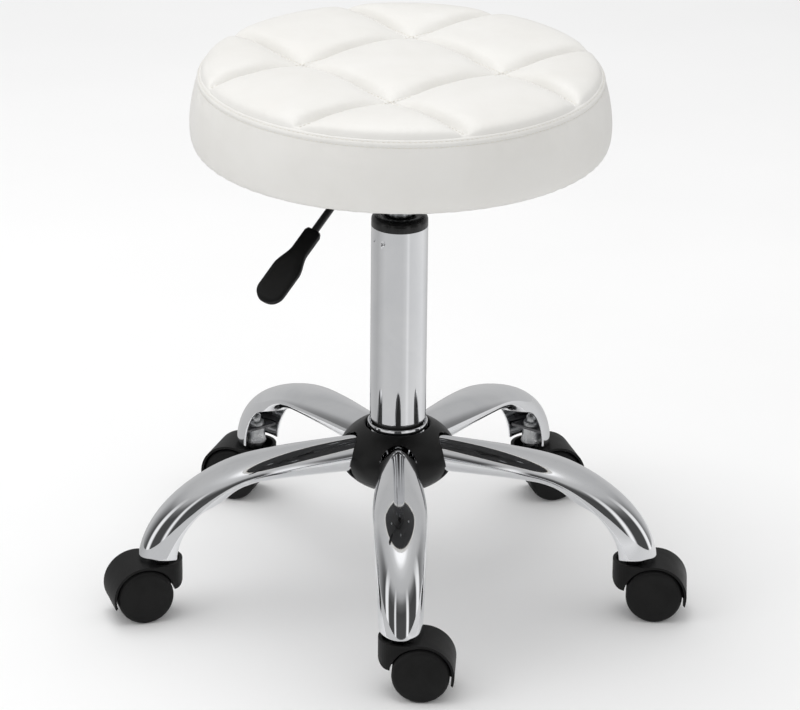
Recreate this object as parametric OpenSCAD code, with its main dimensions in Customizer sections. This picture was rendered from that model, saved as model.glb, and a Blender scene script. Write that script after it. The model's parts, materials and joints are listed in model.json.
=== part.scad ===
// Rolling stylist stool: quilted round seat on a gas-lift column and a five-leg caster base.
// Millimetres, +Z up. The origin is on the floor under the column axis; the front leg points along -Y.

/* [Base] */
// Radius of the circle that the caster stems stand on
stem_circle_r = 221; // [210:1:235]
// Outer radius of the socket tube that the legs are welded to
socket_r = 26.8; // [26:0.1:27.5]
// Largest radius of the hub cover
cover_r = 50.5; // [48:0.5:53]
// Height of the hub cover's widest point
cover_mid_z = 126; // [124:0.5:128]
// Half height of the hub cover's oval
cover_half_h = 33; // [32:0.5:35]
// Sheet thickness of the pressed legs
leg_wall = 2; // [1.5:0.1:2.4]

/* [Casters] */
// Diameter of a caster wheel
wheel_d = 50; // [49:0.5:51]
// Width of one wheel
wheel_w = 16.5; // [15:0.5:17]
// Distance from the stem axis to the wheel axle
caster_trail = 18; // [17:0.5:18.5]
// Height of the caster boss
boss_top_z = 53; // [52.5:0.5:53.5]

/* [Column] */
// Outer radius of the chrome column tube
tube_r = 25; // [24.8:0.1:25.5]
// Height of the column tube's lower rim
tube_bottom_z = 160; // [158:0.5:162]
// Height of the column tube's upper rim
tube_top_z = 343; // [338:0.5:343]
// Number of pointed notches around the tube's foot
notch_count = 9; // [6:1:10]
// Height of a notch
notch_h = 31; // [20:1:36]
// Width of a notch at the rim
notch_w = 4.8; // [3:0.1:6]
// Radius of the gas cylinder
cylinder_r = 14; // [13.9:0.05:14.05]

/* [Seat] */
// Largest radius of the seat
seat_r = 182.5; // [181:0.5:184]
// Radius of the seam between the side band and the top cover
seam_r = 173; // [172:0.5:174]
// Height of that seam
seam_z = 484.5; // [482:0.5:487]
// Rise of the crown above the seam
crown_h = 12; // [8:0.5:16]
// Thickness of the plywood board
board_t = 12; // [11:0.5:13]
// Thickness of the leather
leather_t = 1.5; // [1:0.1:1.6]

/* [Lever] */
// Direction that the release lever points in, from +X
lever_turn = 229.5; // [200:0.5:260]
// Fall of the outer lever below the horizontal
lever_fall = 35.5; // [30:0.5:38]
// Roll of the paddle about its own length
paddle_roll = -18; // [-25:1:25]

/* [Hidden] */
$fn = 96;

// Legs are counted anticlockwise from the front one
LEG_COUNT = 5;
LEG_STEP = 360 / LEG_COUNT;
FRONT = -90;
past = 1;

// ---- leg outline, as radius and height in the leg's own plane ----
claw_z = 58;
leg_knee_r = 150;
ridge_in = [[20, 146.5], [70, 146.2], [115, 144.5], [leg_knee_r, 136.5]];
ridge_out = [[leg_knee_r, 136.5], [stem_circle_r - 25, 125.5],
             [stem_circle_r + 12, 98], [stem_circle_r + 19.5, claw_z]];
belly_in = [[20, 114], [70, 114], [110, 120.5], [leg_knee_r, 117.5]];
belly_out = [[leg_knee_r, 117.5], [stem_circle_r - 40, 114.5],
             [stem_circle_r - 10, 88], [stem_circle_r - 9, claw_z]];
half_w_in = [15.5, 18.5, 25, 23.3];
half_w_out = [23.3, 22.6, 20.5, 19.3];
leg_rings = 20;
arc_steps = 12;
// Half angle of the section's arc where the leg is a tube, and where it is an open claw
tube_arc = 172;
claw_arc = 90;
// Share of the width that the ridge loses beside the hub
ridge_pinch = 0.3;

// ---- casters ----
// Direction that each caster trails in, from +X: front, right, back right, back left, left
caster_turn = [-4, -5, 15, 160, 196];
wheel_r = wheel_d / 2;
web_half = 5.5;
wheel_gap = 0.5;
wheel_cavity_r = wheel_r + 1.8;
hood_r = wheel_r + 4;
hood_half_w = 21;
hood_floor_z = 28.5;
boss_r = 19.5;
boss_corner_r = 8;
pit_r = 16.5;
pit_floor_r = 28.3;
fender_end = 18;
fender_cut = 8;
stem_post_r = 7.5;
stem_post_z = 50;
stem_foot_z = 33;
stem_foot_r = 4;
stem_r = 5.5;
stem_collar_r = 8;
stem_top_z = 79;
axle_r = 3;
axle_half = 17.5;
running_fit = 0.05;
socket_foot_z = 55;
socket_head_z = 76;

// ---- column ----
tube_wall = 1.5;
taper_top_z = tube_bottom_z - 2;
taper_top_r = 23.3;
taper_foot_z = 98;
taper_foot_r = 21.3;
inner_wall = 2;
inner_r = tube_r - tube_wall - running_fit;
bush_foot_z = 276;
bush_cap_h = 10;
foot_plate_t = 3;
rod_hole_r = 5.6;
bearing_h = 5;
rod_r = 5;
rod_foot_z = 94;
collar_h = 3;
bumper_h = 13;
piston_z = 256;
piston_h = 12;
piston_r = 11.94;
cylinder_foot_z = 133;
cylinder_bore_r = 12;
gland_h = 10;
valve_block_z = 366;
cylinder_cap_z = 392;
cylinder_top_z = 400;
taper_nose_r = cylinder_r - 1.1;
taper_start_z = 366;
pin_r = 3.5;
pin_top_z = 404.7;

// ---- seat ----
board_z = 422;
board_r = 172;
lip_r = 163;
dust_t = 1;
flange_t = 2.5;
flange_top_z = board_z - dust_t;
flange_size = 150;
flange_corner_r = 12;
bolt_pitch = 120;
bolt_r = 3;
nut_flange_r = 9;
nut_flange_t = 1.2;
nut_barrel_r = 4.1;
washer_t = 1.2;
pan_floor_z = 396;
pan_wall = 2.5;
pan_half_w = 23;
pan_back = -34;
pan_front = 50;
band_foot_z = board_z - leather_t;
band_curve = [[176, band_foot_z], [seat_r + 3.1, band_foot_z], [seat_r + 2.1, 455], [seam_r, seam_z]];
curve_steps = 16;

// ---- lever, in the plane that it lies in ----
lever_rod_r = 3;
lever_z = 408.2;
pivot_x = 27;
pivot_r = 2.5;
lever_bend_x = 58;
lever_inner_x = -6;
paddle_start = 68.5;
paddle_len = 79;
paddle_t = 9;
neck_half_w = 7.5;
spoon_half_w = 12.8;
rod_in_paddle = 46;
flare_start = 22;
flare_len = 22;

// ---- shared functions and modules ----
function bezier(p, t) =
    pow(1 - t, 3) * p[0] + 3 * t * pow(1 - t, 2) * p[1] + 3 * t * t * (1 - t) * p[2] + pow(t, 3) * p[3];
function mix(a, b, s) = a * (1 - s) + b * s;
function ease(x) = let (c = min(max(x, 0), 1)) c * c * (3 - 2 * c);
function reversed(list) = [for (i = [len(list) - 1 : -1 : 0]) list[i]];
function oval(rx, rz, mid_z, low, high, steps) =
    [for (i = [0 : steps]) let (a = mix(low, high, i / steps)) [rx * cos(a), mid_z + rz * sin(a)]];
function leg_turn(i) = FRONT + i * LEG_STEP;

module ring(outer_r, bore_r, foot_z, top_z) {
    translate([0, 0, foot_z])
        difference() {
            cylinder(r = outer_r, h = top_z - foot_z);
            translate([0, 0, -past]) cylinder(r = bore_r, h = top_z - foot_z + 2 * past);
        }
}

module at_stem(i) {
    rotate([0, 0, leg_turn(i)]) translate([stem_circle_r, 0, 0]) children();
}

module at_caster(i) {
    rotate([0, 0, leg_turn(i)])
        translate([stem_circle_r, 0, 0])
            rotate([0, 0, caster_turn[i] - leg_turn(i)]) children();
}

// Turns a revolved part onto the wheel axle; side is 1 or -1
module on_axle(side) {
    translate([caster_trail, 0, wheel_r]) rotate([-90 * side, 0, 0]) children();
}

module in_lever_plane() {
    rotate([0, 0, lever_turn]) children();
}

module at_bolts() {
    in_lever_plane()
        for (x = [-1, 1], y = [-1, 1]) translate([x * bolt_pitch / 2, y * bolt_pitch / 2, 0]) children();
}

// ---- hub ----
module socket_tube() {
    lip_z = 150;
    foot_z = 97;
    top_z = 157;
    lip_bore_r = 25.3;
    slope = (taper_top_r - taper_foot_r) / (taper_top_z - taper_foot_z);
    bore_foot = taper_foot_r + slope * (foot_z - taper_foot_z) + running_fit;
    bore_lip = taper_foot_r + slope * (lip_z - taper_foot_z) + running_fit;
    color("silver")
        rotate_extrude()
            polygon([[bore_foot, foot_z], [socket_r, foot_z], [socket_r, top_z], [lip_bore_r, top_z],
                     [lip_bore_r, lip_z], [bore_lip, lip_z]]);
}

module cover_shell(low, high) {
    shell_t = 2.5;
    outer = oval(cover_r, cover_half_h, cover_mid_z, low, high, 16);
    inner = oval(cover_r - shell_t, cover_half_h - shell_t, cover_mid_z, low, high, 16);
    rotate_extrude() polygon(concat(outer, reversed(inner)));
}

module leg_arch() {
    arch_half_w = 17;
    crown_z = 148.5;
    translate([socket_r + 4, 0, 0])
        rotate([90, 0, 90])
            linear_extrude(height = cover_r)
                union() {
                    translate([0, crown_z - arch_half_w]) circle(r = arch_half_w);
                    translate([-arch_half_w, 100]) square([2 * arch_half_w, crown_z - arch_half_w - 100]);
                }
}

module hub_cover() {
    rib_t = 2;
    color("#202022")
        union() {
            difference() {
                cover_shell(-25, 55);
                for (i = [0 : LEG_COUNT - 1]) rotate([0, 0, leg_turn(i)]) leg_arch();
            }
            for (i = [0 : LEG_COUNT - 1])
                rotate([0, 0, leg_turn(i) + LEG_STEP / 2])
                    translate([socket_r, -rib_t / 2, 114]) cube([22, rib_t, 22]);
        }
}

module hub_cap() {
    color("#202022")
        difference() {
            cover_shell(-57.5, -25.6);
            cylinder(r = socket_r + running_fit, h = cover_mid_z);
        }
}

// ---- legs ----
function leg_point(u, inside, outside) = u < 1 ? bezier(inside, u) : bezier(outside, u - 1);

// One point of the section; inset is how far it lies inside the outer skin
function skin_point(u, turn, inset) =
    let (
        top = leg_point(u, ridge_in, ridge_out),
        low = leg_point(u, belly_in, belly_out),
        open = ease((u - 0.85) / 0.65),
        mid = mix(mix(top, low, 0.5), low, open),
        up = top - mid,
        rise = up * (1 - inset / norm(up)),
        half_w = leg_point(u, half_w_in, half_w_out) - inset,
        angle = turn * mix(tube_arc, claw_arc, open),
        pinch = ridge_pinch * max(1 - u, 0) * pow(max(cos(angle), 0), 2),
        p = mid + rise * cos(angle)
    )
    [p[0], half_w * sin(angle) * (1 - pinch), p[1]];

function leg_section(u) = concat(
    [for (k = [0 : arc_steps]) skin_point(u, 2 * k / arc_steps - 1, 0)],
    [for (k = [arc_steps : -1 : 0]) skin_point(u, 2 * k / arc_steps - 1, leg_wall)]
);

module leg_shell() {
    count = 2 * (arc_steps + 1);
    points = [for (i = [0 : leg_rings]) each leg_section(2 * i / leg_rings)];
    sides = [
        for (i = [0 : leg_rings - 1], k = [0 : count - 1])
            let (a = i * count + k, b = i * count + (k + 1) % count)
                each [[a, b, b + count], [a, b + count, a + count]]
    ];
    last = leg_rings * count;
    ends = [
        for (k = [0 : arc_steps - 1])
            let (a = k, b = k + 1, c = count - 2 - k, d = count - 1 - k)
                each [[a, c, b], [a, d, c], [last + a, last + b, last + c], [last + a, last + c, last + d]]
    ];
    polyhedron(points = points, faces = concat(sides, ends), convexity = 6);
}

module leg(i) {
    color("gainsboro")
        rotate([0, 0, leg_turn(i)])
            difference() {
                leg_shell();
                cylinder(r = socket_r, h = 200);
            }
}

module socket_plates() {
    plate_t = 2.5;
    plate_z = 70;
    reach = 22.3;
    half_w = 16.6;
    color("silver")
        for (i = [0 : LEG_COUNT - 1])
            rotate([0, 0, leg_turn(i)])
                translate([0, 0, plate_z])
                    linear_extrude(height = plate_t)
                        difference() {
                            polygon([for (a = [-90 : 10 : 90])
                                [stem_circle_r - 9.5 + reach * cos(a), half_w * sin(a)]]);
                            translate([stem_circle_r, 0]) circle(r = 8.5);
                        }
}

module stem_sockets() {
    bore_r = stem_r + running_fit;
    color("lightsteelblue")
        for (i = [0 : LEG_COUNT - 1])
            at_stem(i)
                rotate_extrude()
                    polygon([[bore_r, socket_foot_z], [10, socket_foot_z], [10, 57], [9.4, 57.6], [8.5, 70],
                             [8.5, 74], [7.6, socket_head_z], [bore_r, socket_head_z]]);
}

// ---- column ----
module outer_tube() {
    dimple_z = tube_top_z - 10;
    dimple_r = 1.5;
    dimple_depth = 0.6;
    foot_half_w = notch_w / 2 * (1 + past / notch_h);
    color("gainsboro")
        difference() {
            ring(tube_r, tube_r - tube_wall, tube_bottom_z, tube_top_z);
            for (i = [0 : notch_count - 1])
                rotate([0, 0, FRONT + i * 360 / notch_count])
                    translate([tube_r - 4, 0, tube_bottom_z])
                        rotate([90, 0, 90])
                            linear_extrude(height = 8)
                                polygon([[-foot_half_w, -past], [foot_half_w, -past], [0, notch_h]]);
            for (a = [-152, -126, 28, 54])
                rotate([0, 0, a])
                    translate([tube_r - dimple_depth, 0, dimple_z])
                        rotate([0, 90, 0]) cylinder(r = dimple_r, h = 2);
        }
}

module inner_tube() {
    floor_z = taper_foot_z + foot_plate_t;
    color("#18181a")
        rotate_extrude()
            polygon([[rod_hole_r, taper_foot_z], [taper_foot_r, taper_foot_z],
                     [taper_top_r, taper_top_z], [inner_r, taper_top_z + 2],
                     [inner_r, bush_foot_z], [inner_r - inner_wall, bush_foot_z],
                     [inner_r - inner_wall, taper_top_z + 2], [taper_top_r - inner_wall, taper_top_z],
                     [taper_foot_r - inner_wall, floor_z], [rod_hole_r, floor_z]]);
}

module guide_bush() {
    shoulder_r = 5;
    bore_r = cylinder_r + running_fit;
    cap_z = tube_top_z + bush_cap_h;
    color("#141416")
        rotate_extrude()
            polygon(concat(
                [[bore_r, bush_foot_z], [inner_r, bush_foot_z],
                 [inner_r, tube_top_z], [tube_r, tube_top_z]],
                [for (a = [0 : 15 : 90])
                    [tube_r - shoulder_r + shoulder_r * cos(a), cap_z - shoulder_r + shoulder_r * sin(a)]],
                [[bore_r, cap_z]]
            ));
}

module thrust_bearing() {
    foot_z = taper_foot_z + foot_plate_t;
    race_t = 1.2;
    race_r = 13;
    ball_r = (bearing_h - 2 * race_t) / 2 + running_fit;
    ball_count = 12;
    color("silver")
        union() {
            ring(race_r, rod_hole_r, foot_z, foot_z + race_t);
            ring(race_r, rod_hole_r, foot_z + bearing_h - race_t, foot_z + bearing_h);
            for (i = [0 : ball_count - 1])
                rotate([0, 0, i * 360 / ball_count])
                    translate([9.3, 0, foot_z + bearing_h / 2]) sphere(r = ball_r);
        }
}

module piston_rod() {
    collar_z = taper_foot_z + foot_plate_t + bearing_h + running_fit;
    color("silver")
        union() {
            translate([0, 0, rod_foot_z]) cylinder(r = rod_r, h = piston_z - rod_foot_z);
            translate([0, 0, piston_z]) cylinder(r = rod_r - 1, h = piston_h + 2);
            translate([0, 0, collar_z]) cylinder(r = 10, h = collar_h);
        }
}

module piston() {
    color("goldenrod") ring(piston_r, rod_r - 1, piston_z, piston_z + piston_h);
}

module retaining_clip() {
    clip_t = 1.8;
    foot_z = taper_foot_z - clip_t - 0.5;
    color("silver")
        difference() {
            ring(9, rod_r, foot_z, foot_z + clip_t);
            translate([0, -3, foot_z - past]) cube([10, 6, clip_t + 2 * past]);
        }
}

module rubber_bumper() {
    foot_z = taper_foot_z + foot_plate_t + bearing_h + running_fit + collar_h;
    color("#101010") ring(10, rod_r, foot_z, foot_z + bumper_h);
}

module gas_cylinder() {
    color("#1c1c20")
        rotate_extrude()
            polygon([[cylinder_bore_r, cylinder_foot_z], [cylinder_r, cylinder_foot_z],
                     [cylinder_r, taper_start_z], [taper_nose_r, cylinder_top_z],
                     [pin_r + running_fit, cylinder_top_z],
                     [pin_r + running_fit, cylinder_cap_z], [cylinder_bore_r, cylinder_cap_z]]);
}

module rod_gland() {
    color("#2a2a2a") ring(cylinder_bore_r, rod_r + running_fit, cylinder_foot_z, cylinder_foot_z + gland_h);
}

module valve_block() {
    color("goldenrod") ring(cylinder_bore_r, pin_r + running_fit, valve_block_z, cylinder_cap_z);
}

module valve_pin() {
    color("silver")
        translate([0, 0, valve_block_z + 4]) cylinder(r = pin_r, h = pin_top_z - valve_block_z - 4);
}

// ---- seat hardware ----
module taper_socket() {
    wall_r = 17.5;
    top_z = cylinder_top_z + 0.5;
    color("#1c1c1e")
        rotate_extrude()
            polygon([[cylinder_r + running_fit, taper_start_z], [wall_r, taper_start_z], [wall_r, top_z],
                     [taper_nose_r + running_fit, top_z]]);
}

module rounded_plate(size, corner_r, h) {
    straight = size - 2 * corner_r;
    linear_extrude(height = h)
        union() {
            square([size, straight], center = true);
            square([straight, size], center = true);
            for (x = [-1, 1], y = [-1, 1])
                translate([x * straight / 2, y * straight / 2]) circle(r = corner_r);
        }
}

module mount_plate() {
    flange_z = flange_top_z - flange_t;
    inner_half_w = pan_half_w - pan_wall;
    inner_len = pan_front - pan_back - 2 * pan_wall;
    slot_w = 10;
    slot_z = 400.5;
    slot_h = 17;
    color("#1c1c1e")
        difference() {
            union() {
                in_lever_plane()
                    translate([0, 0, flange_z]) rounded_plate(flange_size, flange_corner_r, flange_t);
                in_lever_plane()
                    translate([pan_back, -pan_half_w, pan_floor_z])
                        cube([pan_front - pan_back, 2 * pan_half_w, flange_top_z - pan_floor_z]);
            }
            in_lever_plane()
                translate([pan_back + pan_wall, -inner_half_w, pan_floor_z + pan_wall])
                    cube([inner_len, 2 * inner_half_w, 50]);
            in_lever_plane()
                translate([pan_front - pan_wall - past, -slot_w / 2, slot_z])
                    cube([pan_wall + 2 * past, slot_w, slot_h]);
            in_lever_plane()
                translate([pivot_x, 0, lever_z])
                    rotate([90, 0, 0]) cylinder(r = pivot_r, h = 2 * pan_half_w + 2 * past, center = true);
            translate([0, 0, pan_floor_z - past]) cylinder(r = 17.5, h = pan_wall + 2 * past);
            at_bolts()
                translate([0, 0, flange_z - past]) cylinder(r = bolt_r + 0.3, h = flange_t + 2 * past);
        }
}

module lever_pivot() {
    color("silver")
        in_lever_plane()
            translate([pivot_x, 0, lever_z])
                rotate([90, 0, 0]) cylinder(r = pivot_r, h = 2 * pan_half_w + 1, center = true);
}

module lever_rod() {
    eye_r = 5.5;
    color("#141416")
        in_lever_plane()
            difference() {
                union() {
                    translate([lever_inner_x, 0, lever_z])
                        rotate([0, 90, 0]) cylinder(r = lever_rod_r, h = lever_bend_x - lever_inner_x);
                    translate([lever_bend_x, 0, lever_z]) sphere(r = lever_rod_r);
                    translate([lever_bend_x, 0, lever_z])
                        rotate([0, 90 + lever_fall, 0])
                            cylinder(r = lever_rod_r, h = paddle_start + rod_in_paddle);
                    translate([pivot_x, 0, lever_z])
                        rotate([90, 0, 0]) cylinder(r = eye_r, h = 14, center = true);
                }
                translate([pivot_x, 0, lever_z])
                    rotate([90, 0, 0]) cylinder(r = pivot_r + running_fit, h = 20, center = true);
            }
}

function paddle_half_w(x) = mix(neck_half_w, spoon_half_w, ease((x - flare_start) / flare_len));

module paddle_outline() {
    round_x = paddle_len - spoon_half_w;
    upper = [for (i = [0 : curve_steps]) let (x = round_x * i / curve_steps) [x, paddle_half_w(x)]];
    nose = [for (a = [75 : -15 : -75]) [round_x + spoon_half_w * cos(a), spoon_half_w * sin(a)]];
    lower = [for (p = reversed(upper)) [p[0], -p[1]]];
    polygon(concat(upper, nose, lower));
}

module lever_paddle() {
    color("#141416")
        in_lever_plane()
            translate([lever_bend_x, 0, lever_z])
                rotate([0, lever_fall, 0])
                    difference() {
                        translate([paddle_start, 0, 0])
                            rotate([paddle_roll, 0, 0])
                                translate([0, 0, -paddle_t / 2])
                                    linear_extrude(height = paddle_t) paddle_outline();
                        rotate([0, 90, 0]) cylinder(r = lever_rod_r, h = paddle_start + rod_in_paddle);
                    }
}

module seat_board() {
    color("burlywood")
        difference() {
            translate([0, 0, board_z]) cylinder(r = board_r, h = board_t);
            at_bolts() translate([0, 0, board_z - past]) cylinder(r = nut_barrel_r, h = board_t + 2 * past);
            at_bolts()
                translate([0, 0, board_z + board_t - nut_flange_t])
                    cylinder(r = nut_flange_r, h = nut_flange_t + past);
        }
}

module seat_bolts() {
    head_h = 3.3;
    head_z = flange_top_z - flange_t - washer_t - head_h;
    shank_z = head_z + head_h;
    color("silver")
        at_bolts()
            difference() {
                union() {
                    translate([0, 0, head_z]) cylinder(r = 5.25, h = head_h);
                    translate([0, 0, shank_z]) cylinder(r = bolt_r, h = board_z + board_t - 1 - shank_z);
                }
                translate([0, 0, head_z - past]) cylinder(r = 2.3, h = 2 + past, $fn = 6);
            }
}

module bolt_washers() {
    washer_z = flange_top_z - flange_t - washer_t;
    color("silver") at_bolts() ring(7, bolt_r + 0.2, washer_z, washer_z + washer_t);
}

module tee_nuts() {
    board_top_z = board_z + board_t;
    color("silver")
        at_bolts() {
            ring(nut_barrel_r, bolt_r, board_top_z - 9, board_top_z);
            ring(nut_flange_r, bolt_r, board_top_z - nut_flange_t, board_top_z);
        }
}

module dust_cover() {
    color("#1a1a1a")
        difference() {
            translate([0, 0, flange_top_z]) cylinder(r = lip_r - 1, h = dust_t);
            at_bolts()
                translate([0, 0, flange_top_z - past]) cylinder(r = bolt_r + 0.2, h = dust_t + 2 * past);
        }
}

// ---- seat pad ----
function band_line(inset) = [
    for (i = [0 : curve_steps])
        let (p = bezier(band_curve, i / curve_steps)) [p[0] - inset, max(p[1], band_foot_z + inset)]
];
function crown_z(r) = seam_z + crown_h * (1 - pow(r / seam_r, 2));
function crown_line(edge_r, lift) =
    [for (i = [0 : curve_steps]) let (r = edge_r * (1 - i / curve_steps)) [r, crown_z(r) + lift]];

module seat_foam() {
    skin = leather_t + 0.1;
    color("lemonchiffon")
        rotate_extrude()
            polygon(concat(
                [[0, board_z + board_t], [board_r + 0.1, board_z + board_t],
                 [board_r + 0.1, board_z + 0.1]],
                band_line(skin),
                crown_line(seam_r - skin - 0.5, 0)
            ));
}

module seat_cover() {
    lift = 0.1;
    color("whitesmoke")
        rotate_extrude()
            polygon(concat(crown_line(seam_r, lift + leather_t), reversed(crown_line(seam_r, lift))));
}

module side_band() {
    outer = band_line(0);
    inner = reversed(band_line(leather_t));
    color("white")
        rotate_extrude() polygon(concat([[lip_r, band_foot_z]], outer, inner, [[lip_r, board_z]]));
}

// ---- casters ----
module hood_side() {
    axle_at = [caster_trail, wheel_r];
    tip = axle_at + hood_r * [cos(fender_end), -sin(fender_end)];
    corner = [-boss_r + boss_corner_r, hood_floor_z + boss_corner_r];
    union() {
        difference() {
            translate(axle_at) circle(r = hood_r);
            polygon([[-boss_r, hood_floor_z], [caster_trail, hood_floor_z], axle_at,
                     tip + fender_cut * [-1, 1], tip + past * [1, -1],
                     [tip[0] + past, -10], [-boss_r, -10]]);
        }
        translate(axle_at) circle(r = 12);
        polygon(concat(
            [[caster_trail, hood_floor_z], [caster_trail, boss_top_z], [-boss_r, boss_top_z]],
            [for (a = [180 : 15 : 270]) corner + boss_corner_r * [cos(a), sin(a)]]
        ));
    }
}

module hood_plan() {
    polygon(concat(
        [for (a = [90 : 7.5 : 270]) boss_r * [cos(a), sin(a)]],
        [[10, -hood_half_w], [60, -hood_half_w], [60, hood_half_w], [10, hood_half_w]]
    ));
}

module hood(i) {
    color("#1b1b1d")
        at_caster(i)
            difference() {
                intersection() {
                    linear_extrude(height = 80) hood_plan();
                    rotate([90, 0, 0]) linear_extrude(height = 80, center = true) hood_side();
                }
                for (side = [-1, 1])
                    on_axle(side) translate([0, 0, web_half]) cylinder(r = wheel_cavity_r, h = 40);
                difference() {
                    translate([0, 0, 40]) cylinder(r = pit_r, h = 40);
                    translate([caster_trail, 0, wheel_r])
                        rotate([90, 0, 0]) cylinder(r = pit_floor_r, h = 80, center = true);
                    cylinder(r = stem_post_r, h = stem_post_z);
                    translate([-40, -40, 0]) cube([80, 80, 46]);
                }
                translate([0, 0, stem_foot_z]) cylinder(r = stem_foot_r, h = 60);
                on_axle(1) cylinder(r = axle_r, h = 60, center = true);
            }
}

module stem(i) {
    color("silver")
        at_caster(i)
            union() {
                translate([0, 0, stem_foot_z]) cylinder(r = stem_foot_r, h = stem_post_z - stem_foot_z);
                translate([0, 0, stem_post_z])
                    cylinder(r = stem_collar_r, h = socket_foot_z - stem_post_z - 0.3);
                translate([0, 0, stem_post_z]) cylinder(r = stem_r, h = stem_top_z - stem_post_z);
                translate([0, 0, stem_top_z]) sphere(r = stem_r);
            }
}

module axle(i) {
    color("silver") at_caster(i) on_axle(1) cylinder(r = axle_r, h = 2 * axle_half, center = true);
}

module wheel(i, side) {
    inner = web_half + wheel_gap;
    outer = inner + wheel_w;
    edge_r = 3;
    bore_r = axle_r + running_fit;
    bore_end = axle_half + 0.5;
    color("#232325")
        at_caster(i)
            on_axle(side)
                rotate_extrude()
                    polygon(concat(
                        [[bore_r, inner], [wheel_r - 1, inner], [wheel_r, inner + 1]],
                        [for (a = [0 : 15 : 90])
                            [wheel_r - edge_r + edge_r * cos(a), outer - edge_r + edge_r * sin(a)]],
                        [[wheel_r / 2, outer + 0.7], [0, outer + 1], [0, bore_end], [bore_r, bore_end]]
                    ));
}

socket_tube();
hub_cover();
hub_cap();
leg(0);  // leg_front
leg(1);  // leg_right
leg(2);  // leg_back_right
leg(3);  // leg_back_left
leg(4);  // leg_left
socket_plates();
stem_sockets();
outer_tube();
inner_tube();
guide_bush();
thrust_bearing();
piston_rod();
piston();
retaining_clip();
rubber_bumper();
gas_cylinder();
rod_gland();
valve_block();
valve_pin();
taper_socket();
mount_plate();
lever_pivot();
lever_rod();
lever_paddle();
seat_board();
seat_bolts();
bolt_washers();
tee_nuts();
dust_cover();
seat_foam();
seat_cover();
side_band();
hood(0);  // hood_front
stem(0);  // stem_front
axle(0);  // axle_front
wheel(0, 1);  // wheel_front_a
wheel(0, -1);  // wheel_front_b
hood(1);  // hood_right
stem(1);  // stem_right
axle(1);  // axle_right
wheel(1, 1);  // wheel_right_a
wheel(1, -1);  // wheel_right_b
hood(2);  // hood_back_right
stem(2);  // stem_back_right
axle(2);  // axle_back_right
wheel(2, 1);  // wheel_back_right_a
wheel(2, -1);  // wheel_back_right_b
hood(3);  // hood_back_left
stem(3);  // stem_back_left
axle(3);  // axle_back_left
wheel(3, 1);  // wheel_back_left_a
wheel(3, -1);  // wheel_back_left_b
hood(4);  // hood_left
stem(4);  // stem_left
axle(4);  // axle_left
wheel(4, 1);  // wheel_left_a
wheel(4, -1);  // wheel_left_b
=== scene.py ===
"""Looks of the rolling stylist stool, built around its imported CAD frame. Lengths in the builders are mm."""
import json
import math

import bmesh
import bpy
import numpy as np
from mathutils import Matrix, Vector
from mathutils.bvhtree import BVHTree


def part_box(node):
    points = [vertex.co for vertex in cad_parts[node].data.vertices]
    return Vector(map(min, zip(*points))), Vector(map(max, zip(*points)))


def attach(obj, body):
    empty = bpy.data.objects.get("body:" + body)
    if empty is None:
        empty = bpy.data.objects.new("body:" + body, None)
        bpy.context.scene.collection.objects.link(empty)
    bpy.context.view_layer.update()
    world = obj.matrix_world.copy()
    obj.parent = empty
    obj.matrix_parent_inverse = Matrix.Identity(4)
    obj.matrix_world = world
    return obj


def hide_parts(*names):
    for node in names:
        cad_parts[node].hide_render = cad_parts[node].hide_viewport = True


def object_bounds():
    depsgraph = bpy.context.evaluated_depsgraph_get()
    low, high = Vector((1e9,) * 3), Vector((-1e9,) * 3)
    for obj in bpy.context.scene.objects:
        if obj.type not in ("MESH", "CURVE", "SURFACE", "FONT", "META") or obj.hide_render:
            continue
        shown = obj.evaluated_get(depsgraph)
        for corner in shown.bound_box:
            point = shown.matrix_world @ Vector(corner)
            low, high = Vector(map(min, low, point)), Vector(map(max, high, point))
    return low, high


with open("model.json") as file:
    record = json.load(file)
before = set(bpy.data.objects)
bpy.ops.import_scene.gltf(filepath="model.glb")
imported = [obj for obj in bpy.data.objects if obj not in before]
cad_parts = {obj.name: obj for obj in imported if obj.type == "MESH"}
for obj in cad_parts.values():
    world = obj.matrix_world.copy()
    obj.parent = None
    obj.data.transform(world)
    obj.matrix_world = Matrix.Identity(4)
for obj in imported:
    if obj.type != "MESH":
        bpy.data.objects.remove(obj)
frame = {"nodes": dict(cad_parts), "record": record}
NODES = frame["nodes"]
CAD_BOX = [list(c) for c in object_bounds()]
MM = 0.001
SCENE = bpy.context.scene


def add_object(name, data):
    obj = bpy.data.objects.new(name, data)
    SCENE.collection.objects.link(obj)
    return obj


# ---------------------------------------------------------------- camera
LENS = 183.0
DISTANCE = 3.6
ELEVATION = math.radians(23.08)
ROLL = math.radians(0.6)
YAW = math.radians(-1.2)
TARGET = Vector((1.45, 0, 218.8)) * MM


def make_camera():
    data = bpy.data.cameras.new("camera")
    data.sensor_width = 36
    data.lens = LENS
    data.clip_start, data.clip_end = 0.1, 50
    cam = add_object("camera", data)
    back = Vector((0, -math.cos(ELEVATION), math.sin(ELEVATION)))
    right = Vector((1, 0, 0))
    up = right.cross(-back)
    r2 = math.cos(ROLL) * right + math.sin(ROLL) * up
    u2 = math.cos(ROLL) * up - math.sin(ROLL) * right
    turn = Matrix((r2, u2, back)).transposed().to_4x4()
    place = Matrix.Translation(TARGET + back * DISTANCE)
    cam.matrix_world = Matrix.Rotation(YAW, 4, "Z") @ place @ turn
    SCENE.camera = cam


make_camera()


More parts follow.
